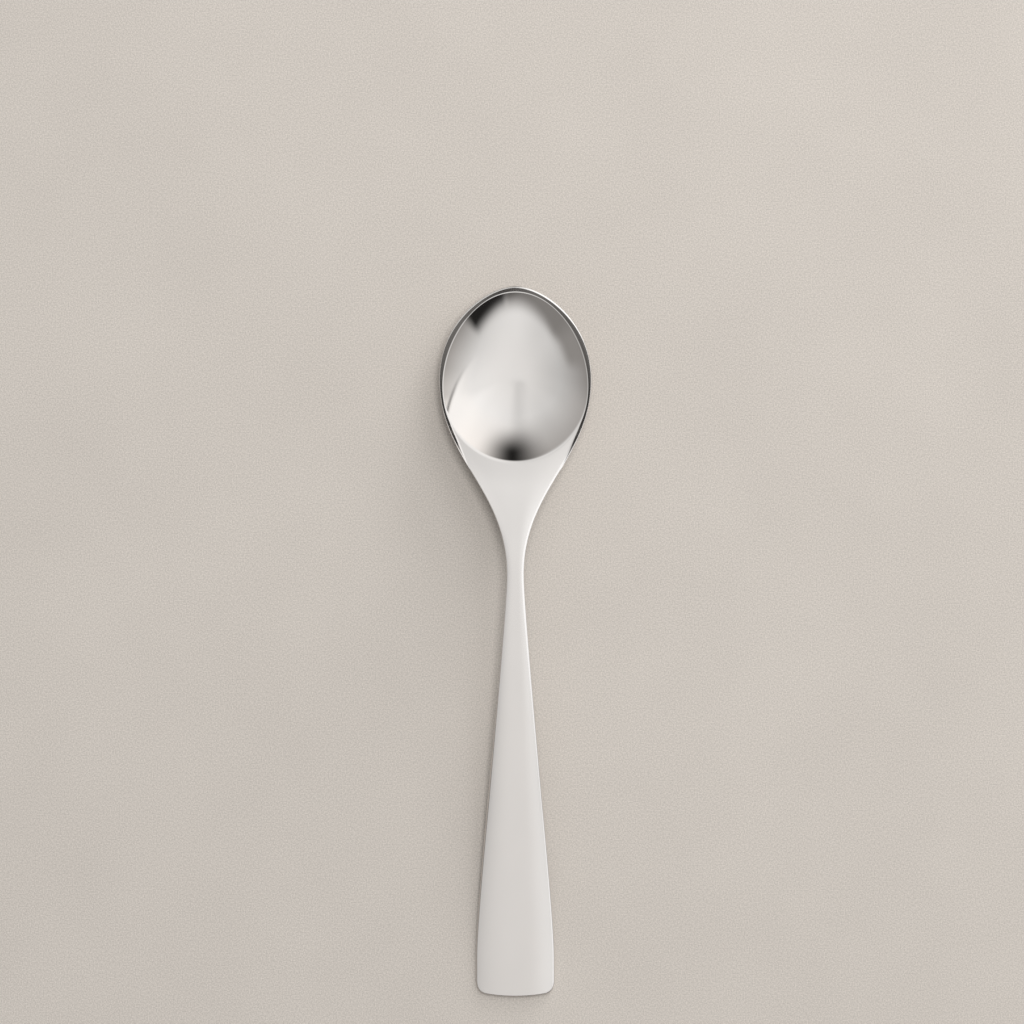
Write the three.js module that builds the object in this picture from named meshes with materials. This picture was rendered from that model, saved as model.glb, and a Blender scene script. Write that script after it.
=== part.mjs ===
// A dessert spoon, coined and polished from one blank of stainless steel.
// Millimetres, +Z up. The spoon lies on its back on the plane z = 0, as it does on a table:
// +Y runs from the handle's end to the bowl's tip, and +X runs across.
// The origin is on the table under the middle of the spoon's box.

import * as THREE from 'three';

const { lerp, smoothstep } = THREE.MathUtils;

// Plan view
const LENGTH = 180; // handle's end to bowl's tip
const HANDLE_WIDTH = 20.1; // handle at its widest
const HANDLE_WIDEST = 9.9; // handle's end to where its sides start to taper
const END_CORNER = 2.6; // corners of the handle's end, along the end edge
const CORNER_RUN = 3.2; // the same along the sides
const END_BOW = 0.6; // swell of the end edge between its corners
const NECK_WIDTH = 4.35; // neck at its narrowest
const NECK_PLACE = 107.2; // handle's end to the narrowest place
const BOWL_WIDTH = 38.4; // bowl at its widest
const BOWL_WIDEST = 23.6; // bowl's tip to its widest place

// How far each stretch of the outline runs on along its end tangent before it turns
const HANDLE_RUN = 14.7; // from the handle's widest place towards the neck
const NECK_RUN = 11.7; // from the neck towards the handle
const SHOULDER_RUN = 21.7; // from the neck towards the bowl
const CHEEK_RUN = 20.2; // from the bowl's widest place towards the neck
const BROW_RUN = 15; // from the bowl's widest place towards the tip
const TIP_RUN = 7; // from the tip towards the sides

// The dish, the hollow of the bowl: an egg in plan, with a crease where it meets the neck's flat top
const DISH_LENGTH = 43.6; // crease to the inside of the tip
const DISH_TAPER = 0.1; // how much narrower the egg gets per half length towards the tip
const DISH_DEPTH = 7.5; // below the rim
const DISH_FULLNESS = 2.1; // 2 is a paraboloid, more gives a flatter floor and steeper sides
const HEEL_FULLNESS = 1.9; // the same at the crease
const CREASE_SOFTNESS = 0.1; // rounding of the crease, as a share of the dish's depth
const LIP_SOFTNESS = 0.03; // the same where the dish meets the lip

// The lip, an upturned rim round the dish that runs out along the shoulders
const LIP_AT_TIP = 1.4; // width at the tip
const LIP_AT_SIDE = 0.95; // width at the bowl's widest place
const LIP_SLOPE = 0.95; // rise over width
const LIP_START = 128; // handle's end to where the lip starts
const LIP_GROWTH = 16; // length over which it grows to its full slope

// Side view: the top face as one line from the handle's end over the neck to the bowl's tip
const CREST_HEIGHT = 15.2; // top of the neck's arch above the table
const CREST_PLACE = 112; // handle's end to the top of the arch
const TIP_HEIGHT = 9; // rim at the bowl's tip
const END_SLOPE = 0.05; // rise of the handle at its end
const RIM_SLOPE = -0.05; // fall of the rim over the middle of the dish
const TIP_SLOPE = -0.01; // fall of the rim at the tip
const END_DIP = 0.25; // how far the top face rolls over at the handle's end
const END_DIP_RUN = 6; // length of that roll
const HANDLE_CROWN = 1.2; // swell of the handle's top face across its width
const NECK_CROWN = 0.6; // the same at the neck
const CROWN_FULLNESS = 3.5; // 2 is an even arch, more gives a flatter middle and rounder sides

// Thickness
const END_THICKNESS = 2.3; // handle, from its end to where it starts to thicken
const GRIP_LENGTH = 40; // length of the handle that keeps this thickness
const NECK_THICKNESS = 4; // neck at its narrowest place
const RIM_THICKNESS = 1.3; // edge of the bowl
const FLOOR_THICKNESS = 1.6; // bottom of the dish
const HEEL_RUN = 6; // how far behind the crease the bowl's back starts to swell
const BACK_FULLNESS = 2.2; // as DISH_FULLNESS, for the bowl's back
const FOOT_FLAT = 0.2; // depth of the flats that the spoon rests on, at the handle's end and under the bowl

// Rounding of the edges
const END_TOP_EDGE = 0.7; // handle's end, between the top face and the side
const END_BACK_EDGE = 0.6; // handle's end, between the side and the back
const NECK_TOP_EDGE = 0.45;
const NECK_BACK_EDGE = 1.2;
const RIM_TOP_EDGE = 0.3;
const RIM_BACK_EDGE = 0.6;
const EDGE_LIMIT = 0.9; // most of the thickness that the two roundings may take up

// Fineness of the surface
const END_STEPS = 5; // half of the end edge
const CORNER_STEPS = 4; // an even count, so that a point falls on the middle of the corner
const STRAIGHT_STEPS = 2;
const HANDLE_STEPS = 22;
const SHOULDER_STEPS = 18;
const BROW_STEPS = 18;
const CREASE_STEP = 12; // shoulder step at which the crease reaches the rim
const EDGE_STEPS = 3; // quarter round of an edge
const DISH_RINGS = 11;
const DISH_RING_BIAS = 1.35; // above 1 the rings crowd towards the crease
const FINE_STEPS = 80; // for reading the width off the outline

// Places along the spoon
const END = -LENGTH / 2;
const TIP = LENGTH / 2;
const NECK = END + NECK_PLACE;
const CREST = END + CREST_PLACE;
const WIDEST = TIP - BOWL_WIDEST;
const DISH_HALF_LENGTH = DISH_LENGTH / 2;
const DISH_HALF_WIDTH = BOWL_WIDTH / 2 - LIP_AT_SIDE;
const DISH_MIDDLE = TIP - LIP_AT_TIP - DISH_HALF_LENGTH;
const HEEL = DISH_MIDDLE - DISH_HALF_LENGTH - HEEL_RUN;
const RIM_HEIGHT = DISH_DEPTH + FLOOR_THICKNESS;

// Values that change along the spoon
const thickness = { end: END_THICKNESS, neck: NECK_THICKNESS, rim: RIM_THICKNESS };
const topCrown = { end: HANDLE_CROWN, neck: NECK_CROWN, rim: 0 };
const topEdge = { end: END_TOP_EDGE, neck: NECK_TOP_EDGE, rim: RIM_TOP_EDGE };
const backEdge = { end: END_BACK_EDGE, neck: NECK_BACK_EDGE, rim: RIM_BACK_EDGE };

// Right half of the outline, from the middle of the handle's end to the bowl's tip
function halfOutline() {
  const side = HANDLE_WIDTH / 2;
  const neckSide = NECK_WIDTH / 2;
  const bowlSide = BOWL_WIDTH / 2;
  const endFlat = side - END_CORNER;
  const cornerTip = END + END_BOW + (END_CORNER * 2 * END_BOW) / endFlat;
  const path = new THREE.Path();
  path.moveTo(0, END);
  path.quadraticCurveTo(endFlat / 2, END, endFlat, END + END_BOW);
  path.quadraticCurveTo(side, cornerTip, side, cornerTip + CORNER_RUN);
  path.lineTo(side, END + HANDLE_WIDEST);
  path.bezierCurveTo(side, END + HANDLE_WIDEST + HANDLE_RUN, neckSide, NECK - NECK_RUN, neckSide, NECK);
  path.bezierCurveTo(neckSide, NECK + SHOULDER_RUN, bowlSide, WIDEST - CHEEK_RUN, bowlSide, WIDEST);
  path.bezierCurveTo(bowlSide, WIDEST + BROW_RUN, TIP_RUN, TIP, 0, TIP);
  return path;
}

// Points round the whole outline, counterclockwise from the middle of the handle's end, with inward normals
function outlinePoints() {
  const steps = [END_STEPS, CORNER_STEPS, STRAIGHT_STEPS, HANDLE_STEPS, SHOULDER_STEPS, BROW_STEPS];
  const right = [];
  halfOutline().curves.forEach((curve, number) => {
    for (let step = 0; step < steps[number]; step += 1) {
      const point = curve.getPoint(step / steps[number]);
      const tangent = curve.getTangent(step / steps[number]);
      right.push({ x: point.x, y: point.y, inX: -tangent.y, inY: tangent.x });
    }
  });
  const left = right.slice(1).reverse();
  const mirrored = left.map((point) => ({ ...point, x: -point.x, inX: -point.inX }));
  return [...right, { x: 0, y: TIP, inX: 0, inY: -1 }, ...mirrored];
}

const fineOutline = halfOutline().getPoints(FINE_STEPS);

// Half of the spoon's width at a place along it; the handle's rounded end counts as full width
function halfWidth(y) {
  if (y <= END + HANDLE_WIDEST) return HANDLE_WIDTH / 2;
  const after = fineOutline.findIndex((point) => point.y > y);
  if (after < 0) return 0;
  const low = fineOutline[after - 1];
  const high = fineOutline[after];
  return lerp(low.x, high.x, (y - low.y) / (high.y - low.y));
}

const fineEdges = fineOutline.slice(1).map((point, number) => {
  const before = fineOutline[number];
  return new THREE.Line3(new THREE.Vector3(before.x, before.y, 0), new THREE.Vector3(point.x, point.y, 0));
});

// Distance from the outline, square to it
function edgeDistance(x, y) {
  const place = new THREE.Vector3(Math.abs(x), y, 0);
  const nearest = new THREE.Vector3();
  const distances = fineEdges.map((edge) => edge.closestPointToPoint(place, true, nearest).distanceTo(place));
  return Math.min(...distances);
}

// Place across the spoon: 0 on its middle line and 1 on its outline
function acrossShare(x, y) {
  const half = halfWidth(y);
  return half > Math.abs(x) ? Math.abs(x) / half : 1;
}

// A value that is set at the handle's end, the neck and the bowl, and runs smoothly between them
function along(y, { end, neck, rim }) {
  if (y < NECK) return lerp(end, neck, smoothstep(y, END + GRIP_LENGTH, NECK));
  return lerp(neck, rim, smoothstep(y, NECK, WIDEST));
}

// Height of a smooth line between two stations, each with a place, a height and a slope
function hermite(y, from, to) {
  const span = to.y - from.y;
  const t = (y - from.y) / span;
  const bend = from.slope * span * (1 - t) - to.slope * span * t;
  return lerp(from.z, to.z, t * t * (3 - 2 * t)) + t * (1 - t) * bend;
}

const stations = [
  { y: END, z: END_THICKNESS - FOOT_FLAT, slope: END_SLOPE },
  { y: CREST, z: CREST_HEIGHT, slope: 0 },
  { y: DISH_MIDDLE, z: RIM_HEIGHT, slope: RIM_SLOPE },
  { y: TIP, z: TIP_HEIGHT, slope: TIP_SLOPE },
];

// Top line of the side view
function landHeight(y) {
  const last = stations.length - 1;
  const next = stations.findIndex((station, number) => number > 0 && (y < station.y || number === last));
  return hermite(y, stations[next - 1], stations[next]);
}

// Point of the dish's egg: share is 0 at its middle and 1 on the crease, angle is 0 on the right
function eggPoint(share, angle) {
  const forward = share * Math.sin(angle);
  const across = share * Math.cos(angle) * (1 - DISH_TAPER * forward);
  return { x: DISH_HALF_WIDTH * across, y: DISH_MIDDLE + DISH_HALF_LENGTH * forward };
}

// The egg's share and angle at a point, inside or outside of the dish
function eggPlace(x, y) {
  const forward = (y - DISH_MIDDLE) / DISH_HALF_LENGTH;
  const across = x / (DISH_HALF_WIDTH * (1 - DISH_TAPER * forward));
  return { share: Math.hypot(across, forward), angle: Math.atan2(forward, across) };
}

// Depth of the dish below the land: nothing outside of the crease, and a fillet just inside of it
function dishDepth(x, y) {
  const { share, angle } = eggPlace(x, y);
  const heel = smoothstep(-Math.sin(angle), 0.2, 1);
  const inside = Math.max(0, 1 - share ** lerp(DISH_FULLNESS, HEEL_FULLNESS, heel));
  const fillet = lerp(LIP_SOFTNESS, CREASE_SOFTNESS, heel);
  const depth = inside < fillet ? inside ** 2 / (2 * fillet) : inside - fillet / 2;
  return (DISH_DEPTH * depth) / (1 - fillet / 2);
}

// Height of the upturned lip, which starts at the crease
function lipRise(x, y) {
  const { share, angle } = eggPlace(Math.abs(x), y);
  if (share <= 1) return 0;
  const foot = eggPoint(1, angle);
  const width = Math.min(edgeDistance(foot.x, foot.y), angle < 0 ? LIP_AT_SIDE : LIP_AT_TIP);
  const grown = smoothstep(y, END + LIP_START, END + LIP_START + LIP_GROWTH);
  return LIP_SLOPE * Math.max(0, width - edgeDistance(x, y)) * grown;
}

function topHeight(x, y) {
  const crown = along(y, topCrown) * acrossShare(x, y) ** CROWN_FULLNESS;
  const roll = END_DIP * Math.max(0, 1 - (y - END) / END_DIP_RUN) ** 2;
  return landHeight(y) + lipRise(x, y) - crown - roll - dishDepth(x, y);
}

// How far the bowl's back has swelled towards the table: 0 at the heel and the tip, 1 under the dish's middle
function backSwell(y) {
  if (y > DISH_MIDDLE) return 1 - ((y - DISH_MIDDLE) / (TIP - DISH_MIDDLE)) ** BACK_FULLNESS;
  const behind = Math.min(1, (DISH_MIDDLE - y) / (DISH_MIDDLE - HEEL));
  return (1 - behind ** 2) ** 2;
}

function backHeight(x, y) {
  const edge = landHeight(y) - along(y, thickness);
  const swell = backSwell(y) * (1 - acrossShare(x, y) ** BACK_FULLNESS);
  return Math.max(0, lerp(edge, -FOOT_FLAT, swell) + lipRise(x, y));
}

// Closed skin of the spoon: a top sheet and a back sheet on one plan, and a rounded edge between them
function spoonGeometry() {
  const outline = outlinePoints();
  const count = outline.length;
  const corner = END_STEPS + CORNER_STEPS / 2;
  const neckRow = CORNER_STEPS / 2 + STRAIGHT_STEPS + HANDLE_STEPS;
  const creaseRow = neckRow + CREASE_STEP;
  const columns = 2 * corner;
  const rimStart = corner + creaseRow;
  const positions = [];
  const triangles = [];

  function addPoint(x, y, z) {
    positions.push(x, y, z);
    return { x, y, index: positions.length / 3 - 1 };
  }

  function addQuad(a, b, c, d, flipped) {
    const corners = flipped ? [d, c, b, a] : [a, b, c, d];
    const [p, q, r, s] = corners.map((point) => point.index);
    triangles.push(p, q, r, p, r, s);
  }

  // One loop of the edge's rounding: turn is 0 on the outline and a quarter turn on the face
  function edgeLoop(turn, radii, height, side) {
    return outline.map((point) => {
      const room = topHeight(point.x, point.y) - backHeight(point.x, point.y);
      const both = along(point.y, topEdge) + along(point.y, backEdge);
      const radius = along(point.y, radii) * Math.min(1, (EDGE_LIMIT * room) / both);
      const x = point.x + point.inX * radius * (1 - Math.cos(turn));
      const y = point.y + point.inY * radius * (1 - Math.cos(turn));
      return addPoint(x, y, height(x, y) - side * radius * (1 - Math.sin(turn)));
    });
  }

  function edgeLoops(radii, height, side) {
    const turns = Array.from({ length: EDGE_STEPS + 1 }, (_, step) => (step / EDGE_STEPS) * (Math.PI / 2));
    return turns.map((turn) => edgeLoop(turn, radii, height, side));
  }

  function joinLoops(lower, upper) {
    lower.forEach((point, number) => {
      const next = (number + 1) % lower.length;
      addQuad(point, lower[next], upper[next], upper[number], false);
    });
  }

  // Sheet that closes the innermost edge loop: rows across the handle and neck, then the lip and the dish
  function fillSheet(loop, height, flipped) {
    const place = ({ x, y }) => addPoint(x, y, height(x, y));
    const rightEnd = eggPlace(loop[rimStart].x, loop[rimStart].y).angle;
    const creaseAngle = (column) => lerp(-Math.PI - rightEnd, rightEnd, (column - 1) / (columns - 2));
    const creaseShare = eggPoint(1, rightEnd).x / loop[rimStart].x;

    // Where a row would cross a column if it ran straight from edge to edge
    function straightPoint(row, column) {
      const right = loop[corner + row];
      return { x: right.x * creaseShare * (((column - 1) / (columns - 2)) * 2 - 1), y: right.y };
    }

    // Rows bend from straight at the neck to the crease's arc
    function rowPoint(row, column) {
      const straight = straightPoint(row, column);
      const bend = (Math.max(0, row - neckRow) / CREASE_STEP) ** 2;
      const crease = eggPoint(1, creaseAngle(column));
      const creaseStraight = straightPoint(creaseRow, column);
      const narrowing = loop[corner + row].x / loop[rimStart].x;
      return place({
        x: straight.x + bend * narrowing * (crease.x - creaseStraight.x),
        y: straight.y + bend * (crease.y - creaseStraight.y),
      });
    }

    const inner = Array.from({ length: columns - 1 }, (_, number) => number + 1);
    const rows = [[...loop.slice(count - corner), ...loop.slice(0, corner + 1)]];
    for (let row = 1; row <= creaseRow; row += 1) {
      const middle = inner.map((column) => rowPoint(row, column));
      rows.push([loop[count - corner - row], ...middle, loop[corner + row]]);
    }
    for (let row = 0; row < creaseRow; row += 1) {
      for (let column = 0; column < columns; column += 1) {
        const [near, far] = [rows[row], rows[row + 1]];
        addQuad(near[column], near[column + 1], far[column + 1], far[column], flipped);
      }
    }

    // Lip between the outline and the dish, from the crease's right end round the tip to its left end
    const crease = rows[creaseRow];
    const rim = loop.slice(rimStart, count - rimStart + 1);
    const rimAngles = rim.map((point) => eggPlace(point.x, point.y).angle);
    const lip = rimAngles.slice(1, -1).map((angle) => place(eggPoint(1, angle)));
    const brink = [crease[columns - 1], ...lip, crease[1]];
    for (let number = 0; number < rim.length - 1; number += 1) {
      addQuad(rim[number], rim[number + 1], brink[number + 1], brink[number], flipped);
    }

    // Rings of the dish, from the crease to a fan at its middle
    const creaseInner = inner.slice(1, -1);
    const angles = [...rimAngles, ...creaseInner.map(creaseAngle)];
    let outer = [...brink, ...creaseInner.map((column) => crease[column])];
    for (let ring = DISH_RINGS - 1; ring > 0; ring -= 1) {
      const share = 1 - (1 - ring / DISH_RINGS) ** DISH_RING_BIAS;
      const next = angles.map((angle) => place(eggPoint(share, angle)));
      outer.forEach((point, number) => {
        const after = (number + 1) % outer.length;
        addQuad(point, outer[after], next[after], next[number], flipped);
      });
      outer = next;
    }
    const middle = place(eggPoint(0, 0));
    outer.forEach((point, number) => {
      const fan = [point.index, outer[(number + 1) % outer.length].index, middle.index];
      triangles.push(...(flipped ? fan.reverse() : fan));
    });
  }

  const top = edgeLoops(topEdge, topHeight, 1);
  const back = edgeLoops(backEdge, backHeight, -1);
  const loops = [...back.toReversed(), ...top];
  loops.slice(1).forEach((loop, number) => joinLoops(loops[number], loop));
  fillSheet(top[EDGE_STEPS], topHeight, false);
  fillSheet(back[EDGE_STEPS], backHeight, true);

  const geometry = new THREE.BufferGeometry();
  geometry.setAttribute('position', new THREE.Float32BufferAttribute(positions, 3));
  geometry.setIndex(triangles);
  geometry.computeVertexNormals();
  return geometry;
}

const steel = new THREE.MeshStandardMaterial({ color: 0xd2cdc8, metalness: 1, roughness: 0.25 });
const spoon = new THREE.Mesh(spoonGeometry(), steel);
spoon.name = 'spoon';

const dessertSpoon = new THREE.Group();
dessertSpoon.add(spoon);

export default dessertSpoon;
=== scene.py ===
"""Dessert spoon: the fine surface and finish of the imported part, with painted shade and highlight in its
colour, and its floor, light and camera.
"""

import math

import bpy
import numpy as np
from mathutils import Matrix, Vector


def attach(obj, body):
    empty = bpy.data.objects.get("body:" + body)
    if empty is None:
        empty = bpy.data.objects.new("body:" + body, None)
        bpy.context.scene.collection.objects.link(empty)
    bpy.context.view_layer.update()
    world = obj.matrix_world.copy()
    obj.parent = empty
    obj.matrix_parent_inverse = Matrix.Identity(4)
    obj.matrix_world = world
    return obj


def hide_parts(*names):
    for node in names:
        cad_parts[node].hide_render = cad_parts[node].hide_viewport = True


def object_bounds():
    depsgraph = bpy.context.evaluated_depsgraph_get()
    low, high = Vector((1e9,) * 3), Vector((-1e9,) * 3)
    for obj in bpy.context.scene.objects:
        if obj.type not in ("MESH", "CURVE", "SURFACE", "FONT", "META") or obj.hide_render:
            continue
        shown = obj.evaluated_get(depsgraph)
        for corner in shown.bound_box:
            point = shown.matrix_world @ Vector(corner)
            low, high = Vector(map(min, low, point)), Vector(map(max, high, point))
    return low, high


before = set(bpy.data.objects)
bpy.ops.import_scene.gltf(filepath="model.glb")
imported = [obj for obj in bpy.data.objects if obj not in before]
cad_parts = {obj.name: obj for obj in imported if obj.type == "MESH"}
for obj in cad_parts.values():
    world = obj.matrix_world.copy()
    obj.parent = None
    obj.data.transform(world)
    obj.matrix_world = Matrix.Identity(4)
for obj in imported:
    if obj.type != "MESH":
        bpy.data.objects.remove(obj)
cad_low, cad_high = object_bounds()

# Sizes in millimetres: the frame's box, and the solid's own sizes with a finer lip, neck and top edges
MM = 0.001
cad_size = (cad_high - cad_low) / MM
LENGTH = cad_size.y
BOWL_WIDTH = cad_size.x
CREST_HEIGHT = cad_size.z

# Plan view
HANDLE_WIDTH = 20.1  # handle at its widest
HANDLE_WIDEST = 9.9  # handle's end to where its sides start to taper
END_CORNER = 2.6  # corners of the handle's end, along the end edge
CORNER_RUN = 3.2  # the same along the sides
END_BOW = 0.6  # swell of the end edge between its corners
NECK_WIDTH = 4.35  # neck at its narrowest
NECK_PLACE = 107.2  # handle's end to the narrowest place
BOWL_WIDEST = 23.6  # bowl's tip to its widest place

# How far each stretch of the outline runs on along its end tangent before it turns
HANDLE_RUN = 14.7  # from the handle's widest place towards the neck
NECK_RUN = 11.7  # from the neck towards the handle
SHOULDER_RUN = 21.7  # from the neck towards the bowl
CHEEK_RUN = 20.2  # from the bowl's widest place towards the neck
BROW_RUN = 15  # from the bowl's widest place towards the tip
TIP_RUN = 7  # from the tip towards the sides

# The dish, an egg in plan, with a crease where it meets the neck's flat top
DISH_LENGTH = 43.6  # crease to the inside of the tip
DISH_TAPER = 0.1  # how much narrower the egg gets per half length towards the tip
DISH_DEPTH = 7.5  # below the rim
DISH_FULLNESS = 2.1  # 2 is a paraboloid, more gives a flatter floor and steeper sides
HEEL_FULLNESS = 1.9  # the same at the crease
HEEL_TURN = 0.2  # sine of the angle behind the egg's middle where the heel's values start to take over
CREASE_SOFTNESS = 0.1  # rounding of the crease, as a share of the dish's depth
LIP_SOFTNESS = 0.012  # the same where the dish meets the lip

# The lip, an upturned rim round the dish that runs out along the shoulders
LIP_AT_TIP = 1.4  # width at the tip
LIP_AT_SIDE = 0.95  # width at the bowl's widest place
LIP_SLOPE = 0.95  # rise over width
CREST_AT_TIP = 0.45  # edge to the lip's crest, at the tip
CREST_AT_SIDE = 0.15  # the same along the sides
CREST_TURN = (0.2, 0.9)  # sines of the angles ahead of the egg's middle between which the crest moves in
CHAMFER_SLOPE = 0.6  # fall over width, from the crest to the edge
LIP_START = 132  # handle's end to where the lip starts
LIP_GROWTH = 10  # length over which it grows to its full width

# Side view: the top face as one line from the handle's end over the neck to the bowl's tip
CREST_PLACE = 112  # handle's end to the top of the arch
TIP_HEIGHT = 9  # rim at the bowl's tip
END_SLOPE = 0.05  # rise of the handle at its end
RIM_SLOPE = -0.05  # fall of the rim over the middle of the dish
TIP_SLOPE = -0.01  # fall of the rim at the tip
END_DIP = 0.25  # how far the top face rolls over at the handle's end
END_DIP_RUN = 6  # length of that roll
HANDLE_CROWN = 1.2  # swell of the handle's top face across its width
NECK_CROWN = 0.35  # the same at the neck
SHOULDER_CROWN_EXTRA = 0.12  # added to the crown where the lip starts
CROWN_FULLNESS = 3.5  # 2 is an even arch, more gives a flatter middle and rounder sides

# Thickness
END_THICKNESS = 2.3  # handle, from its end to where it starts to thicken
GRIP_LENGTH = 40  # length of the handle that keeps this thickness
NECK_THICKNESS = 4  # neck at its narrowest place
RIM_THICKNESS = 1.3  # edge of the bowl
FLOOR_THICKNESS = 1.6  # bottom of the dish
HEEL_RUN = 6  # how far behind the crease the bowl's back starts to swell
BACK_FULLNESS = 2.2  # as DISH_FULLNESS, for the bowl's back
FOOT_FLAT = 0.2  # depth of the flats that the spoon rests on

# Rounding of the edges
END_TOP_EDGE = 0.5  # handle's end, between the top face and the side
END_BACK_EDGE = 0.6  # handle's end, between the side and the back
NECK_TOP_EDGE = 0.15
NECK_BACK_EDGE = 1.2
SHOULDER_EDGE_EXTRA = 0.15  # added to the top edge where the lip starts
RIM_TOP_EDGE = 0.12
RIM_BACK_EDGE = 0.6
EDGE_LIMIT = 0.9  # most of the thickness that the two roundings may take up

# Mirror polish, as shares of the dish's egg
POLISH_REACH = 1.3  # where the polish has ended
POLISH_FADE = 0.3  # how far before that it starts to fade

# Painted highlight along the right edge: a brighter colour on the right side that stands in for the light
# falling from the right
PAINTED_HIGHLIGHT_COLOUR = (0.97, 0.955, 0.94, 1)
POLISH_AND_HIGHLIGHT_LINE_WIDTH = 0.8  # width of the painted highlight line along the edge, and of the mirror-polished band there
POLISH_AND_HIGHLIGHT_LINE_TIP_FADE = 0.9  # length over which the line fades at the tip
PAINTED_SHEEN_SHARE = 0.35  # strength of the wider painted sheen beside the line
PAINTED_SHEEN_START = 0.3  # place across the spoon where the sheen starts
PAINTED_SHEEN_STOP = 121  # handle's end to where the sheen starts to fade
PAINTED_SHEEN_FADE = 12  # length over which it fades
PAINTED_HIGHLIGHT_DISH_FADE = 0.04  # share of the egg outside of the crease over which the painted highlight fades in

# Fineness of the surface
END_STEPS = 22  # half of the end edge
CORNER_STEPS = 16  # an even count, so that a point falls on the middle of the corner
STRAIGHT_STEPS = 8
HANDLE_STEPS = 110
SHOULDER_STEPS = 90
BROW_STEPS = 90
CREASE_STEP = 48  # shoulder step at which the crease reaches the rim
EDGE_STEPS = 10  # quarter round of an edge
LIP_STEPS = 16  # edge to crease
CHAMFER_STEPS = 4  # those of them between the edge and the lip's crest
LIP_BIAS = 1.8  # above 1 the lip's steps crowd towards its crest
DISH_RINGS = 64
DISH_RING_BIAS = 1.35  # above 1 the rings crowd towards the crease
FINE_STEPS = 600  # for reading the width off the outline
NEAR_BATCH = 2000  # points that are set against the fine outline at a time

# Steel: cells of grain and haze to the metre, ranges of roughness, and colours by share of the length that
# paint shade and light along it: darker towards the handle's end, lightest on the shoulder
GRAIN_CELLS = (9000, 220, 9000)
GRAIN_DEPTH = 0.004  # of its relief
HAZE_CELLS = (90, 45, 90)
HAZE_SPREAD = (0.3, 0.7)
HAZE_TONES = ((0.975, 0.975, 0.975, 1), (1, 1, 1, 1))
SATIN_ROUGHNESS = (0.2, 0.27)
MIRROR_ROUGHNESS = (0.04, 0.065)
# Painted shade and light along the length: the handle darkens towards its end and the shoulder is lightest
STEEL_COLOURS_WITH_PAINTED_SHADE = [
    (0, (0.67, 0.64, 0.615, 1)),
    (0.37, (0.71, 0.68, 0.655, 1)),
    (0.6, (0.74, 0.713, 0.69, 1)),
    (0.72, (0.82, 0.795, 0.772, 1)),
    (0.8, (0.75, 0.725, 0.702, 1)),
]

# Floor: half its width, cells to the metre, and colours by the noise's value
FLOOR_HALF = 3000
CLOUD_CELLS = (22, 22, 22)
CLOUD_COLOURS = [(0.35, (0.549, 0.506, 0.462, 1)), (0.65, (0.571, 0.527, 0.481, 1))]
SPECKLE_CELLS = (3000, 3000, 3000)
SPECKLE_TONES = [(0.3, (0.7, 0.7, 0.7, 1)), (0.7, (1.04, 1.04, 1.04, 1))]
SPECKLE_DEPTH = 0.1  # of its relief

# Strength of the steel's and the floor's relief
BUMP_STRENGTH = 0.3

# Tone of the studio by azimuth in degrees (0 along +X, 90 along +Y), on rings at rising elevations
HORIZON_RING = [(-180, 0.05), (-135, 0.12), (-90, 0.14), (-45, 0.18), (-5, 0.05), (90, 0.04), (180, 0.05)]
SIDE_RING = [(-180, 0.34), (-150, 0.32), (-100, 0.3), (-40, 0.38), (-10, 0.5), (12, 0.72), (30, 1.28),
             (45, 1.4), (65, 1.2), (110, 0.46), (150, 0.47), (180, 0.34)]
HIGH_RING = [(-180, 0.66), (-135, 0.82), (-90, 1), (-35, 0.86), (20, 1.05), (40, 1.2), (60, 1.15), (90, 1),
             (125, 0.82), (160, 0.7), (180, 0.66)]
DOME_LEFT = (0.82, 0.815, 0.81, 1)
DOME_RIGHT = (1.15, 1.145, 1.14, 1)
BACKDROP = (0.62, 0.58, 0.54, 1)
TILTS = (3, 9, 36, 76)  # elevations of the horizon, side and high rings and of the dome, in degrees
LOW_TINT = (1, 0.965, 0.935)
HIGH_TINT = (1, 1, 1)

# Cards in the studio: azimuth, half width, top, softness of the sides and the top in degrees, and tone
CARDS = [(-152, 12, 19, 14, 12, 0.34), (-112, 28, 20, 14, 14, 0.28), (-84, 8, 13, 26, 14, 0.12),
         (-70, 10, 14, 20, 14, 0.03), (-57, 15, 18, 8, 15, 0.02), (88, 0, 12, 27, 19, 0.02)]

# Bright panel, with azimuths in radians and heights as sines of the elevation
PANEL_EDGE = 1.0  # azimuth of its leaning edge at the horizon
PANEL_LEAN = 2.2  # how far the edge's azimuth moves over the height
PANEL_SOFTNESS = 0.09
PANEL_TOP = (0.3, 0.68)  # heights between which it fades out
PANEL_FAR_SIDE = (0.55, 1.1)  # azimuths between which it fades out
PANEL_COLOUR = (1.25, 1.24, 1.23, 1)
SEAM_PLACE = 0.92  # azimuth of the dark seam along the edge, at the horizon
SEAM_WIDTH = 0.09
SEAM_TOP = (0.2, 0.5)  # heights between which the seam fades out
SEAM_COLOUR = (0.3, 0.297, 0.294, 1)

# Dim arm overhead, in parts of the direction's unit vector
ARM_TONE = 0.86
ARM_PLACE = -0.06  # its middle along X
ARM_WIDTH = 0.2
ARM_START = (0.05, 0.3)  # places along Y between which it sets in

# Share of the studio's light that reaches the floor
FLOOR_SHARE = 0.386

# Lamps that light the floor: azimuth and tilt in degrees, distance and size in metres, power in watts
LAMPS = [(60, 83, 2.2, 0.62, 28.1), (45, 55, 1.1, 0.59, 2.4), (62, 15, 1.1, 0.59, 6.6)]

# Camera, which looks straight down
CAMERA_PLACE = (-0.85, 33, 1444.6)
SENSOR_WIDTH = 36
LENS = 200

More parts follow.
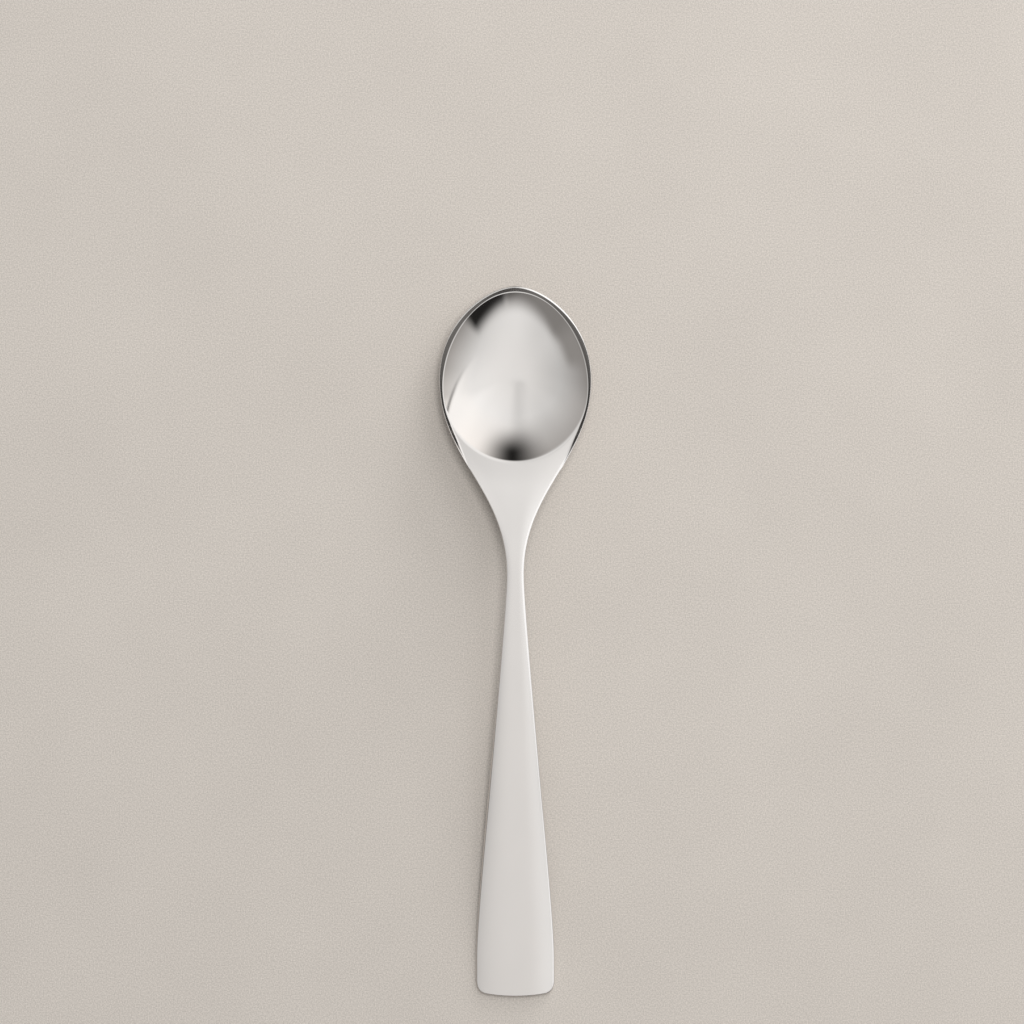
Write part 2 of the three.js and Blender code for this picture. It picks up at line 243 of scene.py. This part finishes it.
# Places along the spoon
END = -LENGTH / 2
TIP = LENGTH / 2
NECK = END + NECK_PLACE
CREST = END + CREST_PLACE
WIDEST = TIP - BOWL_WIDEST
DISH_HALF_LENGTH = DISH_LENGTH / 2
DISH_HALF_WIDTH = BOWL_WIDTH / 2 - LIP_AT_SIDE
DISH_MIDDLE = TIP - LIP_AT_TIP - DISH_HALF_LENGTH
HEEL = DISH_MIDDLE - DISH_HALF_LENGTH - HEEL_RUN
RIM_HEIGHT = DISH_DEPTH + FLOOR_THICKNESS

# Values at the handle's end, the neck and the rim
THICKNESS = (END_THICKNESS, NECK_THICKNESS, RIM_THICKNESS)
TOP_CROWN = (HANDLE_CROWN, NECK_CROWN, 0)
TOP_EDGE = (END_TOP_EDGE, NECK_TOP_EDGE, RIM_TOP_EDGE)
BACK_EDGE = (END_BACK_EDGE, NECK_BACK_EDGE, RIM_BACK_EDGE)


def lerp(low, high, share):
    return low + (high - low) * share


def smoothstep(value, low, high):
    share = np.clip((value - low) / (high - low), 0, 1)
    return share * share * (3 - 2 * share)


def bezier(controls, shares):
    """Points and unit tangents of a Bezier curve of any degree."""
    shares = shares[:, None]
    layer = [np.tile(np.array(point, float), (len(shares), 1)) for point in controls]
    while len(layer) > 2:
        layer = [lerp(a, b, shares) for a, b in zip(layer, layer[1:])]
    tangent = layer[1] - layer[0]
    return lerp(layer[0], layer[1], shares), tangent / np.linalg.norm(tangent, axis=1, keepdims=True)


def half_outline():
    """Control points of the right half's curves, from the middle of the handle's end to the bowl's tip."""
    side, neck, bowl = HANDLE_WIDTH / 2, NECK_WIDTH / 2, BOWL_WIDTH / 2
    end_flat = side - END_CORNER
    corner_tip = END + END_BOW + END_CORNER * 2 * END_BOW / end_flat
    taper = END + HANDLE_WIDEST
    return [
        [(0, END), (end_flat / 2, END), (end_flat, END + END_BOW)],
        [(end_flat, END + END_BOW), (side, corner_tip), (side, corner_tip + CORNER_RUN)],
        [(side, corner_tip + CORNER_RUN), (side, taper)],
        [(side, taper), (side, taper + HANDLE_RUN), (neck, NECK - NECK_RUN), (neck, NECK)],
        [(neck, NECK), (neck, NECK + SHOULDER_RUN), (bowl, WIDEST - CHEEK_RUN), (bowl, WIDEST)],
        [(bowl, WIDEST), (bowl, WIDEST + BROW_RUN), (TIP_RUN, TIP), (0, TIP)],
    ]


def outline_points():
    """Points round the outline, counterclockwise from the middle of the handle's end, and inward normals."""
    steps = [END_STEPS, CORNER_STEPS, STRAIGHT_STEPS, HANDLE_STEPS, SHOULDER_STEPS, BROW_STEPS]
    stretches = [bezier(curve, np.arange(n) / n) for curve, n in zip(half_outline(), steps)]
    points = np.vstack([points for points, _ in stretches] + [[(0, TIP)]])
    tangents = np.vstack([tangents for _, tangents in stretches] + [[(-1, 0)]])
    normals = np.column_stack([-tangents[:, 1], tangents[:, 0]])
    mirror = np.array([-1, 1])
    left = slice(-2, 0, -1)
    return np.vstack([points, points[left] * mirror]), np.vstack([normals, normals[left] * mirror])


# The tapered handle, the neck and the bowl, finely divided
tapered = [bezier(curve, np.linspace(0, 1, FINE_STEPS)) for curve in half_outline()[3:]]
fine_outline = np.vstack([points for points, _ in tapered])
fine_tangents = np.vstack([tangents for _, tangents in tapered])


def across_share(x, y):
    """Place across the spoon: 0 on its middle line and 1 on its outline."""
    half = np.interp(y, fine_outline[:, 1], fine_outline[:, 0])
    return np.minimum(np.abs(x) / np.maximum(half, 1e-6), 1)


def edge_distance(x, y):
    """Distance from the outline, square to it."""
    near = np.empty(len(x), int)
    for part in np.array_split(np.arange(len(x)), len(x) // NEAR_BATCH + 1):
        off_x = np.abs(x[part, None]) - fine_outline[:, 0]
        off_y = y[part, None] - fine_outline[:, 1]
        near[part] = np.argmin(off_x**2 + off_y**2, axis=1)
    off = np.column_stack([np.abs(x), y]) - fine_outline[near]
    return np.abs(off[:, 0] * fine_tangents[near, 1] - off[:, 1] * fine_tangents[near, 0])


def along(y, values):
    """Value that changes smoothly from the handle's end over the neck to the rim."""
    end, neck, rim = values
    handle = lerp(end, neck, smoothstep(y, END + GRIP_LENGTH, NECK))
    return np.where(y < NECK, handle, lerp(neck, rim, smoothstep(y, NECK, WIDEST)))


def shoulder_share(y):
    """1 where the lip starts, falling to 0 at the neck and at the bowl's widest place."""
    start = END + LIP_START
    return smoothstep(y, NECK, start) * (1 - smoothstep(y, start, WIDEST))


def top_crown(y):
    return along(y, TOP_CROWN) + SHOULDER_CROWN_EXTRA * shoulder_share(y)


def top_edge(y):
    """Radius of the top edge: fine at the neck and fuller where the lip starts."""
    return along(y, TOP_EDGE) + SHOULDER_EDGE_EXTRA * shoulder_share(y)


def back_edge(y):
    return along(y, BACK_EDGE)


def land_height(y):
    """Top line of the side view: Hermite curves through stations of place, height and slope."""
    stations = np.array([
        (END, END_THICKNESS - FOOT_FLAT, END_SLOPE),
        (CREST, CREST_HEIGHT, 0),
        (DISH_MIDDLE, RIM_HEIGHT, RIM_SLOPE),
        (TIP, TIP_HEIGHT, TIP_SLOPE),
    ])
    number = np.clip(np.searchsorted(stations[:, 0], y) - 1, 0, len(stations) - 2)
    place, height, slope = stations[number].T
    next_place, next_height, next_slope = stations[number + 1].T
    span = next_place - place
    t = (y - place) / span
    bend = slope * span * (1 - t) - next_slope * span * t
    return lerp(height, next_height, t * t * (3 - 2 * t)) + t * (1 - t) * bend


def egg_point(share, angle):
    """Point of the dish's egg: share is 0 at its middle and 1 on the crease."""
    forward = share * np.sin(angle)
    across = share * np.cos(angle) * (1 - DISH_TAPER * forward)
    return np.stack([DISH_HALF_WIDTH * across, DISH_MIDDLE + DISH_HALF_LENGTH * forward], axis=-1)


def egg_place(x, y):
    """Share and angle of a plan point in the dish's egg."""
    forward = (y - DISH_MIDDLE) / DISH_HALF_LENGTH
    across = x / (DISH_HALF_WIDTH * (1 - DISH_TAPER * forward))
    return np.hypot(across, forward), np.arctan2(forward, across)


def dish_depth(x, y):
    """Depth below the land: nothing outside of the crease, and a fillet just inside of it."""
    share, angle = egg_place(x, y)
    heel = smoothstep(-np.sin(angle), HEEL_TURN, 1)
    inside = np.maximum(1 - share ** lerp(DISH_FULLNESS, HEEL_FULLNESS, heel), 0)
    fillet = lerp(LIP_SOFTNESS, CREASE_SOFTNESS, heel)
    depth = np.where(inside < fillet, inside**2 / (2 * fillet), inside - fillet / 2)
    return DISH_DEPTH * depth / (1 - fillet / 2)


def lip_crest(angle):
    """Distance of the lip's crest from the edge."""
    return lerp(CREST_AT_SIDE, CREST_AT_TIP, smoothstep(np.sin(angle), *CREST_TURN))


def lip_rise(x, y):
    """Height of the upturned lip: from the crease up to its crest, then down a chamfer to the edge."""
    share, angle = egg_place(np.abs(x), y)
    widest = np.where(angle < 0, LIP_AT_SIDE, LIP_AT_TIP)
    grown = smoothstep(y, END + LIP_START, END + LIP_START + LIP_GROWTH)
    width = np.minimum(edge_distance(*egg_point(1, angle).T), widest) * grown
    inset = edge_distance(x, y)
    crest = lip_crest(angle) * grown
    rise = LIP_SLOPE * np.maximum(width - np.maximum(inset, crest), 0)
    fall = CHAMFER_SLOPE * np.maximum(crest - inset, 0)
    return np.where(share > 1, rise - fall, 0)


def top_height(x, y):
    crown = top_crown(y) * across_share(x, y) ** CROWN_FULLNESS
    roll = END_DIP * np.maximum(0, 1 - (y - END) / END_DIP_RUN) ** 2
    return land_height(y) + lip_rise(x, y) - crown - roll - dish_depth(x, y)


def back_swell(y):
    """How far the back bulges down to the table: 1 under the dish's middle and 0 at the heel and the tip."""
    ahead = np.maximum(0, y - DISH_MIDDLE) / (TIP - DISH_MIDDLE)
    behind = np.clip((DISH_MIDDLE - y) / (DISH_MIDDLE - HEEL), 0, 1)
    return np.where(y > DISH_MIDDLE, 1 - ahead**BACK_FULLNESS, (1 - behind**2) ** 2)


def back_height(x, y):
    edge = land_height(y) - along(y, THICKNESS)
    swell = back_swell(y) * (1 - across_share(x, y) ** BACK_FULLNESS)
    return np.maximum(0, lerp(edge, -FOOT_FLAT, swell) + lip_rise(x, y))


def closed(loop):
    """A loop with its first point again at its end."""
    return np.append(loop, loop[0])


class Skin:
    """The spoon's closed skin: a top and a back sheet on one plan, and a rounded edge between them."""

    def __init__(self):
        self.points = np.empty((0, 3))
        self.faces = []
        self.outline, self.normals = outline_points()
        self.corner = END_STEPS + CORNER_STEPS // 2
        self.neck_row = CORNER_STEPS // 2 + STRAIGHT_STEPS + HANDLE_STEPS
        self.crease_row = self.neck_row + CREASE_STEP
        self.columns = 2 * self.corner
        self.rim_start = self.corner + self.crease_row

    def add(self, plan, height):
        """Adds plan points at their height and gives their numbers."""
        first = len(self.points)
        self.points = np.vstack([self.points, np.column_stack([plan, height])])
        return np.arange(first, len(self.points))

    def add_faces(self, faces, flipped):
        """Adds faces that are counterclockwise unless flipped."""
        self.faces += (faces[:, ::-1] if flipped else faces).tolist()

    def strip(self, near, far, flipped=False):
        """Quads between two lines of points."""
        self.add_faces(np.column_stack([near[:-1], near[1:], far[1:], far[:-1]]), flipped)

    def edge_loops(self, edge, height, side):
        """Loops of the edge's rounding, from the outline to the face."""
        x, y = self.outline.T
        room = top_height(x, y) - back_height(x, y)
        both = top_edge(y) + back_edge(y)
        radius = edge(y) * np.minimum(1, EDGE_LIMIT * room / both)
        loops = []
        for turn in np.linspace(0, math.pi / 2, EDGE_STEPS + 1):
            plan = self.outline + self.normals * (radius * (1 - math.cos(turn)))[:, None]
            loops.append(self.add(plan, height(*plan.T) - side * radius * (1 - math.sin(turn))))
        return loops

    def build(self):
        top = self.edge_loops(top_edge, top_height, 1)
        back = self.edge_loops(back_edge, back_height, -1)
        loops = back[::-1] + top
        for lower, upper in zip(loops, loops[1:]):
            self.strip(closed(lower), closed(upper))
        Sheet(self, top[-1], top_height, False).fill()
        Sheet(self, back[-1], back_height, True).fill()


class Sheet:
    """One face of the skin, inside of its last edge loop."""

    def __init__(self, skin, loop, height, flipped):
        self.skin = skin
        self.loop = loop
        self.height = height
        self.flipped = flipped
        self.plan = skin.points[loop][:, :2]
        self.rim_right = self.plan[skin.rim_start]
        self.column = np.arange(skin.columns + 1)
        self.brink = skin.columns - LIP_STEPS

    def fill(self):
        """Rows across the handle and neck, then the lip and the dish."""
        crease_angle, crease = self.crease_line()
        last_row = self.rows(crease)
        rim, rim_angle = self.lip(last_row)
        between = slice(LIP_STEPS + 1, self.brink)
        angle = np.concatenate([rim_angle, crease_angle[between]])
        self.dish(np.concatenate([rim, last_row[between]]), angle)

    def place(self, points):
        """Adds plan points on this face and gives their numbers."""
        return self.skin.add(points, self.height(*points.T))

    def crease_line(self):
        """Angles and plan points of the last row: the crease, with the lip's steps at its two ends."""
        right_end = egg_place(*self.rim_right)[1]
        crease_share = (self.column - LIP_STEPS) / (self.brink - LIP_STEPS)
        angle = lerp(-math.pi - right_end, right_end, crease_share)
        crease = egg_point(1, angle)
        lip_share = 1 - (1 - np.arange(LIP_STEPS + 1)[:, None] / LIP_STEPS) ** LIP_BIAS
        crease[self.brink :] = lerp(egg_point(1, right_end), self.rim_right, lip_share)
        crease[: LIP_STEPS + 1] = crease[: self.brink - 1 : -1] * (-1, 1)
        return angle, crease

    def rows(self, crease):
        """Rows that bend from straight at the neck to the crease's arc. Gives the last one."""
        skin, loop, count = self.skin, self.loop, len(self.loop)
        rim_x, rim_y = self.rim_right
        brink_share = crease[self.brink, 0] / rim_x
        stations = [0, LIP_STEPS, self.brink, skin.columns]
        across = np.interp(self.column, stations, [-1, -brink_share, brink_share, 1])
        straight = np.column_stack([across * rim_x, np.full(len(across), rim_y)])
        row_before = np.concatenate([loop[count - skin.corner :], loop[: skin.corner + 1]])
        for row in range(1, skin.crease_row + 1):
            right_x, right_y = self.plan[skin.corner + row]
            bend = (max(0, row - skin.neck_row) / CREASE_STEP) ** 2
            points = np.column_stack([across * right_x, np.full(len(across), right_y)])
            points += bend * (crease - straight) * (right_x / rim_x, 1)
            left, right = loop[count - skin.corner - row], loop[skin.corner + row]
            row_now = np.concatenate([[left], self.place(points[1:-1]), [right]])
            skin.strip(row_before, row_now, self.flipped)
            row_before = row_now
        return row_before

    def lip(self, last_row):
        """Strips from the edge over the lip's crest to the crease, round the tip. Gives the crease there."""
        skin = self.skin
        around = slice(skin.rim_start, len(self.loop) - skin.rim_start + 1)
        rim = self.loop[around]
        rim_plan = self.plan[around]
        rim_angle = egg_place(*rim_plan.T)[1]
        crest = rim_plan + skin.normals[around] * (lip_crest(rim_angle) - RIM_TOP_EDGE)[:, None]
        for step in range(1, LIP_STEPS + 1):
            if step < CHAMFER_STEPS:
                points = lerp(rim_plan, crest, step / CHAMFER_STEPS)
            else:
                past_crest = (step - CHAMFER_STEPS) / (LIP_STEPS - CHAMFER_STEPS)
                points = lerp(crest, egg_point(1, rim_angle), past_crest**LIP_BIAS)
            right, left = last_row[skin.columns - step], last_row[step]
            inner = np.concatenate([[right], self.place(points[1:-1]), [left]])
            skin.strip(rim, inner, self.flipped)
            rim = inner
        return rim, rim_angle

    def dish(self, outer, angle):
        """Rings from the crease to a fan at the dish's middle."""
        for ring in range(DISH_RINGS - 1, 0, -1):
            share = 1 - (1 - ring / DISH_RINGS) ** DISH_RING_BIAS
            inner = self.place(egg_point(share, angle))
            self.skin.strip(closed(outer), closed(inner), self.flipped)
            outer = inner
        middle = self.place(egg_point(np.zeros(1), 0))
        fan = np.column_stack([outer, np.roll(outer, -1), np.full(len(outer), middle[0])])
        self.skin.add_faces(fan, self.flipped)


def polish_and_painted_highlight(x, y):
    """Polish and painted highlight: a mirror polish in the bowl and along the edges, and a painted highlight
    that makes the right side brighter.
    """
    share, _ = egg_place(x, y)
    polish_and_highlight_line = 1 - smoothstep(edge_distance(x, y), POLISH_AND_HIGHLIGHT_LINE_WIDTH / 2, POLISH_AND_HIGHLIGHT_LINE_WIDTH)
    polish_and_highlight_line *= smoothstep(TIP - y, 0, POLISH_AND_HIGHLIGHT_LINE_TIP_FADE)
    painted_sheen = PAINTED_SHEEN_SHARE * smoothstep(across_share(x, y), PAINTED_SHEEN_START, 1)
    painted_sheen *= 1 - smoothstep(y, END + PAINTED_SHEEN_STOP, END + PAINTED_SHEEN_STOP + PAINTED_SHEEN_FADE)
    polish = np.maximum(smoothstep(POLISH_REACH - share, 0, POLISH_FADE), polish_and_highlight_line)
    # Painted highlight: a brighter colour along the right edge and side, standing in for the light from the
    # right
    painted_highlight = np.where(x > 0, np.maximum(painted_sheen, polish_and_highlight_line), 0) * smoothstep(share, 1, 1 + PAINTED_HIGHLIGHT_DISH_FADE)
    return {"polish": polish, "painted_highlight": painted_highlight}


def make_spoon(material):
    skin = Skin()
    skin.build()
    mesh = bpy.data.meshes.new("spoon_surface")
    mesh.from_pydata((skin.points * MM).tolist(), [], skin.faces)
    mesh.shade_smooth()
    x, y, _ = skin.points.T
    # Keeps the polish and the painted highlight on the mesh as attributes
    for name, values in polish_and_painted_highlight(x, y).items():
        mesh.attributes.new(name, "FLOAT", "POINT").data.foreach_set("value", values.astype(np.float32))
    mesh.materials.append(material)
    spoon = bpy.data.objects.new("spoon_surface", mesh)
    bpy.context.scene.collection.objects.link(spoon)
    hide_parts("spoon")
    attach(spoon, "root")


class Nodes:
    """Short ways to add and link shader nodes."""

    def __init__(self, tree):
        self.tree = tree

    def add(self, kind, **settings):
        node = self.tree.nodes.new("ShaderNode" + kind)
        for name, value in settings.items():
            setattr(node, name, value)
        return node

    def link(self, output, target):
        self.tree.links.new(output, target)

    def feed(self, value, socket):
        """Links an output to a socket, or sets the socket to a constant."""
        if isinstance(value, (int, float, tuple)):
            socket.default_value = value
        else:
            self.link(value, socket)

    def attribute(self, name):
        return self.add("Attribute", attribute_name=name).outputs["Fac"]

    def place(self, scale):
        """Object coordinates in metres times a scale for each axis."""
        where = self.add("TexCoord")
        mapping = self.add("Mapping")
        mapping.inputs["Scale"].default_value = scale
        self.link(where.outputs["Object"], mapping.inputs["Vector"])
        return mapping.outputs["Vector"]

    def noise(self, scale, detail, roughness=0.5):
        """Noise with so many cells to the metre along each axis."""
        node = self.add("TexNoise")
        node.inputs["Scale"].default_value = 1
        node.inputs["Detail"].default_value = detail
        node.inputs["Roughness"].default_value = roughness
        self.link(self.place(scale), node.inputs["Vector"])
        return node.outputs["Fac"]

    def range(self, value, low, high, start=0, stop=1, smooth=False):
        """Takes a value from start..stop to low..high."""
        node = self.add("MapRange", interpolation_type="SMOOTHSTEP" if smooth else "LINEAR")
        for name, number in (("From Min", start), ("From Max", stop), ("To Min", low), ("To Max", high)):
            self.feed(number, node.inputs[name])
        self.link(value, node.inputs["Value"])
        return node.outputs["Result"]

    def math(self, operation, first, second):
        node = self.add("Math", operation=operation)
        for socket, value in zip(node.inputs, (first, second)):
            self.feed(value, socket)
        return node.outputs["Value"]

    def distance(self, value, middle):
        """How far a value is from a middle, on either side."""
        return self.math("ABSOLUTE", self.math("SUBTRACT", value, middle), 0)

    def ramp(self, value, stops, interpolation="LINEAR"):
        """Colours between stops of place and colour."""
        node = self.add("ValToRGB")
        node.color_ramp.interpolation = interpolation
        elements = node.color_ramp.elements
        while len(elements) < len(stops):
            elements.new(1)
        for element, (position, colour) in zip(elements, stops):
            element.position = position
            element.color = colour
        self.link(value, node.inputs["Fac"])
        return node.outputs["Color"]

    def mix(self, share, first, second, blend="MIX"):
        """Mixes two colours by a share."""
        node = self.add("Mix", data_type="RGBA", blend_type=blend)
        for socket, value in zip((node.inputs[0], node.inputs[6], node.inputs[7]), (share, first, second)):
            self.feed(value, socket)
        return node.outputs[2]

    def bump(self, height, depth):
        """Normals of a relief whose depth is in millimetres."""
        node = self.add("Bump")
        node.inputs["Distance"].default_value = depth * MM
        node.inputs["Strength"].default_value = BUMP_STRENGTH
        self.link(height, node.inputs["Height"])
        return node.outputs["Normal"]


def new_material(name):
    material = bpy.data.materials.new(name)
    material.use_nodes = True
    return material, Nodes(material.node_tree), material.node_tree.nodes["Principled BSDF"]


def steel_colour_with_painted_light(nodes, haze):
    """Colour along the spoon with painted shade and light along its length, a little clouded, and a painted
    highlight along the right edge.
    """
    split = nodes.add("SeparateXYZ")
    nodes.link(nodes.place((1, 1, 1)), split.inputs["Vector"])
    lengthwise = nodes.range(split.outputs["Y"], 0, 1, END * MM, TIP * MM)
    # Painted shade and light along the length
    steel_with_painted_shade = nodes.ramp(lengthwise, STEEL_COLOURS_WITH_PAINTED_SHADE)
    clouds = nodes.ramp(haze, list(zip(HAZE_SPREAD, HAZE_TONES)))
    clouded = nodes.mix(1.0, steel_with_painted_shade, clouds, "MULTIPLY")
    # Painted highlight: the right edge and side are mixed towards a brighter colour
    return nodes.mix(nodes.attribute("painted_highlight"), clouded, PAINTED_HIGHLIGHT_COLOUR)


def steel_material():
    """Stainless steel: a mirror polish in the bowl and a lengthwise satin grain on the neck and handle."""
    material, nodes, shader = new_material("stainless_steel")
    shader.inputs["Metallic"].default_value = 1
    polish = nodes.attribute("polish")
    grain = nodes.noise(GRAIN_CELLS, detail=3, roughness=0.6)
    haze = nodes.noise(HAZE_CELLS, detail=3)
    satin = nodes.range(grain, *SATIN_ROUGHNESS)
    mirror = nodes.range(haze, *MIRROR_ROUGHNESS, *HAZE_SPREAD)
    nodes.link(nodes.range(polish, satin, mirror), shader.inputs["Roughness"])
    nodes.link(steel_colour_with_painted_light(nodes, haze), shader.inputs["Base Color"])
    relief = nodes.math("MULTIPLY", grain, nodes.range(polish, 1, 0))
    nodes.link(nodes.bump(relief, GRAIN_DEPTH), shader.inputs["Normal"])
    return material


def floor_material():
    """Matt plaster-like floor: warm pale clouds under a fine grain."""
    material, nodes, shader = new_material("pale_floor")
    shader.inputs["Roughness"].default_value = 0.9
    shader.inputs["Specular IOR Level"].default_value = 0.1
    clouds = nodes.noise(CLOUD_CELLS, detail=5, roughness=0.6)
    speckle = nodes.noise(SPECKLE_CELLS, detail=2, roughness=0.6)
    base = nodes.ramp(clouds, CLOUD_COLOURS)
    fine = nodes.ramp(speckle, SPECKLE_TONES)
    nodes.link(nodes.mix(1.0, base, fine, "MULTIPLY"), shader.inputs["Base Color"])
    nodes.link(nodes.bump(speckle, SPECKLE_DEPTH), shader.inputs["Normal"])
    return material


def make_floor():
    mesh = bpy.data.meshes.new("floor")
    half = FLOOR_HALF * MM
    corners = [(-half, -half, 0), (half, -half, 0), (half, half, 0), (-half, half, 0)]
    mesh.from_pydata(corners, [], [(0, 1, 2, 3)])
    mesh.materials.append(floor_material())
    floor = bpy.data.objects.new("floor", mesh)
    bpy.context.scene.collection.objects.link(floor)


def tinted(tone, tint):
    return (*(tone * part for part in tint), 1)


def tone_ring(nodes, turn, stops, tint):
    """Tones round the horizon from stops of azimuth in degrees and tone."""
    return nodes.ramp(turn, [((azimuth + 180) / 360, tinted(tone, tint)) for azimuth, tone in stops], "EASE")


def card_share(nodes, azimuth, height, angles):
    """How far a direction is on a card: 1 on it, falling to 0 over its softness."""
    middle, half_width, top, side_softness, top_softness = (math.radians(angle) for angle in angles)
    off = nodes.distance(azimuth, middle)
    beside = nodes.range(off, 1, 0, half_width, half_width + side_softness, True)
    return nodes.range(height, beside, 0, math.sin(top), math.sin(top + top_softness), True)


def panel_share(nodes, azimuth, leaning, height):
    """How far a direction is on the bright panel, which fades out upwards and away from its leaning edge."""
    beside = nodes.range(leaning, 0, 1, PANEL_EDGE - PANEL_SOFTNESS, PANEL_EDGE + PANEL_SOFTNESS, True)
    below = nodes.range(height, beside, 0, *PANEL_TOP, True)
    return nodes.range(azimuth, below, 0, *PANEL_FAR_SIDE, True)


def seam_share(nodes, leaning, height):
    """How far a direction is on the thin dark seam along the panel's edge."""
    beside = nodes.range(nodes.distance(leaning, SEAM_PLACE), 1, 0, 0, SEAM_WIDTH, True)
    return nodes.range(height, beside, 0, *SEAM_TOP, True)


def arm_shade(nodes, across, forward):
    """Shade of the dim arm overhead, which sets in towards the bowl's tip."""
    arm = nodes.range(nodes.distance(across, ARM_PLACE), ARM_TONE, 1, 0, ARM_WIDTH, True)
    return nodes.range(forward, 1, arm, *ARM_START, True)


def studio_colour(nodes):
    """Colour by direction: rings of tone under a dome, with the panel, the cards, the horizon and the arm."""
    split = nodes.add("SeparateXYZ")
    nodes.link(nodes.add("TexCoord").outputs["Generated"], split.inputs["Vector"])
    across, forward, height = (split.outputs[axis] for axis in "XYZ")
    azimuth = nodes.math("ARCTAN2", forward, across)
    turn = nodes.range(azimuth, 0, 1, -math.pi, math.pi)
    tilts = [math.sin(math.radians(tilt)) for tilt in TILTS]
    colour = tone_ring(nodes, turn, SIDE_RING, LOW_TINT)
    dome = nodes.mix(nodes.range(across, 0, 1, -1, 1), DOME_LEFT, DOME_RIGHT)
    for low, high, upper in zip(tilts[1:], tilts[2:], [tone_ring(nodes, turn, HIGH_RING, HIGH_TINT), dome]):
        colour = nodes.mix(nodes.range(height, 0, 1, low, high), colour, upper)
    leaning = nodes.math("ADD", azimuth, nodes.math("MULTIPLY", height, PANEL_LEAN))
    colour = nodes.mix(panel_share(nodes, azimuth, leaning, height), colour, PANEL_COLOUR)
    colour = nodes.mix(seam_share(nodes, leaning, height), colour, SEAM_COLOUR)
    for *angles, tone in CARDS:
        colour = nodes.mix(card_share(nodes, azimuth, height, angles), colour, tinted(tone, LOW_TINT))
    above = nodes.range(height, 0, 1, tilts[0], tilts[1])
    colour = nodes.mix(above, tone_ring(nodes, turn, HORIZON_RING, LOW_TINT), colour)
    return nodes.mix(1.0, colour, arm_shade(nodes, across, forward), "MULTIPLY")


def make_world():
    """Soft studio, with a plain backdrop for the camera and less light for the floor."""
    world = bpy.data.worlds.new("studio")
    bpy.context.scene.world = world
    world.use_nodes = True
    nodes = Nodes(world.node_tree)
    background = world.node_tree.nodes["Background"]
    light_path = nodes.add("LightPath")
    colour = nodes.mix(light_path.outputs["Is Camera Ray"], studio_colour(nodes), BACKDROP)
    nodes.link(colour, background.inputs["Color"])
    strength = nodes.range(light_path.outputs["Is Diffuse Ray"], 1, FLOOR_SHARE)
    nodes.link(strength, background.inputs["Strength"])


def make_lamp(azimuth, tilt, distance, size, power):
    """Soft round lamp that faces the spoon. Only the floor shows its light."""
    data = bpy.data.lights.new("soft_lamp", "AREA")
    data.shape = "DISK"
    data.size = size
    data.energy = power
    lamp = bpy.data.objects.new("soft_lamp", data)
    turn, lean = math.radians(azimuth), math.radians(90 - tilt)
    across = distance * math.sin(lean)
    lamp.location = (across * math.cos(turn), across * math.sin(turn), distance * math.cos(lean))
    lamp.rotation_euler = (0, lean, turn)
    lamp.visible_glossy = False
    lamp.visible_camera = False
    bpy.context.scene.collection.objects.link(lamp)


def make_camera():
    data = bpy.data.cameras.new("camera")
    data.sensor_width = SENSOR_WIDTH
    data.lens = LENS
    camera = bpy.data.objects.new("camera", data)
    bpy.context.scene.collection.objects.link(camera)
    camera.location = [value * MM for value in CAMERA_PLACE]
    bpy.context.scene.camera = camera


make_camera()
make_world()
for lamp_values in LAMPS:
    make_lamp(*lamp_values)
make_floor()
make_spoon(steel_material())
bpy.context.scene.view_settings.view_transform = "Standard"
